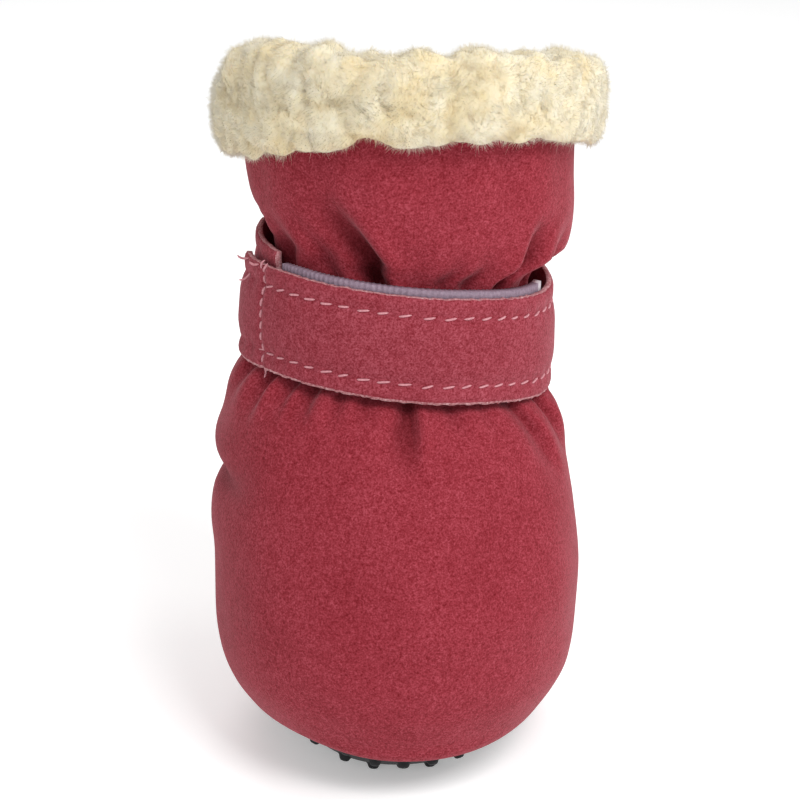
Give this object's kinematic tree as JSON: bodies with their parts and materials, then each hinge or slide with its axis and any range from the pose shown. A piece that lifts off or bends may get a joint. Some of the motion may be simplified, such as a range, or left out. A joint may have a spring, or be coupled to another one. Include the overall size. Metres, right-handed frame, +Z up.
{
  "type": "dog boot",
  "caption": "Soft winter boot for a small dog: suede upper on a studded rubber sole, turned-out fleece cuff at the collar, lapped back slit and a hook-and-loop ankle strap.",
  "frame": {"origin": "on the floor, at the flat tip of the stud in the middle of the sole", "axes": "+Z up, the toe towards -Y, the heel and the slit towards +Y, +X to the right of someone who faces the toe"},
  "size_m": [0.0575, 0.067, 0.109],
  "materials": {
    "suede": "rose-pink microfibre suede, napped and matte",
    "fleece": "cream sherpa fleece, soft curled pile",
    "rubber": "black dotted rubber, satin",
    "tape": "mauve ribbed hook tape, dull sheen"
  },
  "bodies": {
    "root": {"outsole": "rubber", "insole": "fleece", "upper": "suede", "fleece_cuff": "fleece", "strap": "suede", "hook_tape": "tape"}
  },
  "joints": []
}
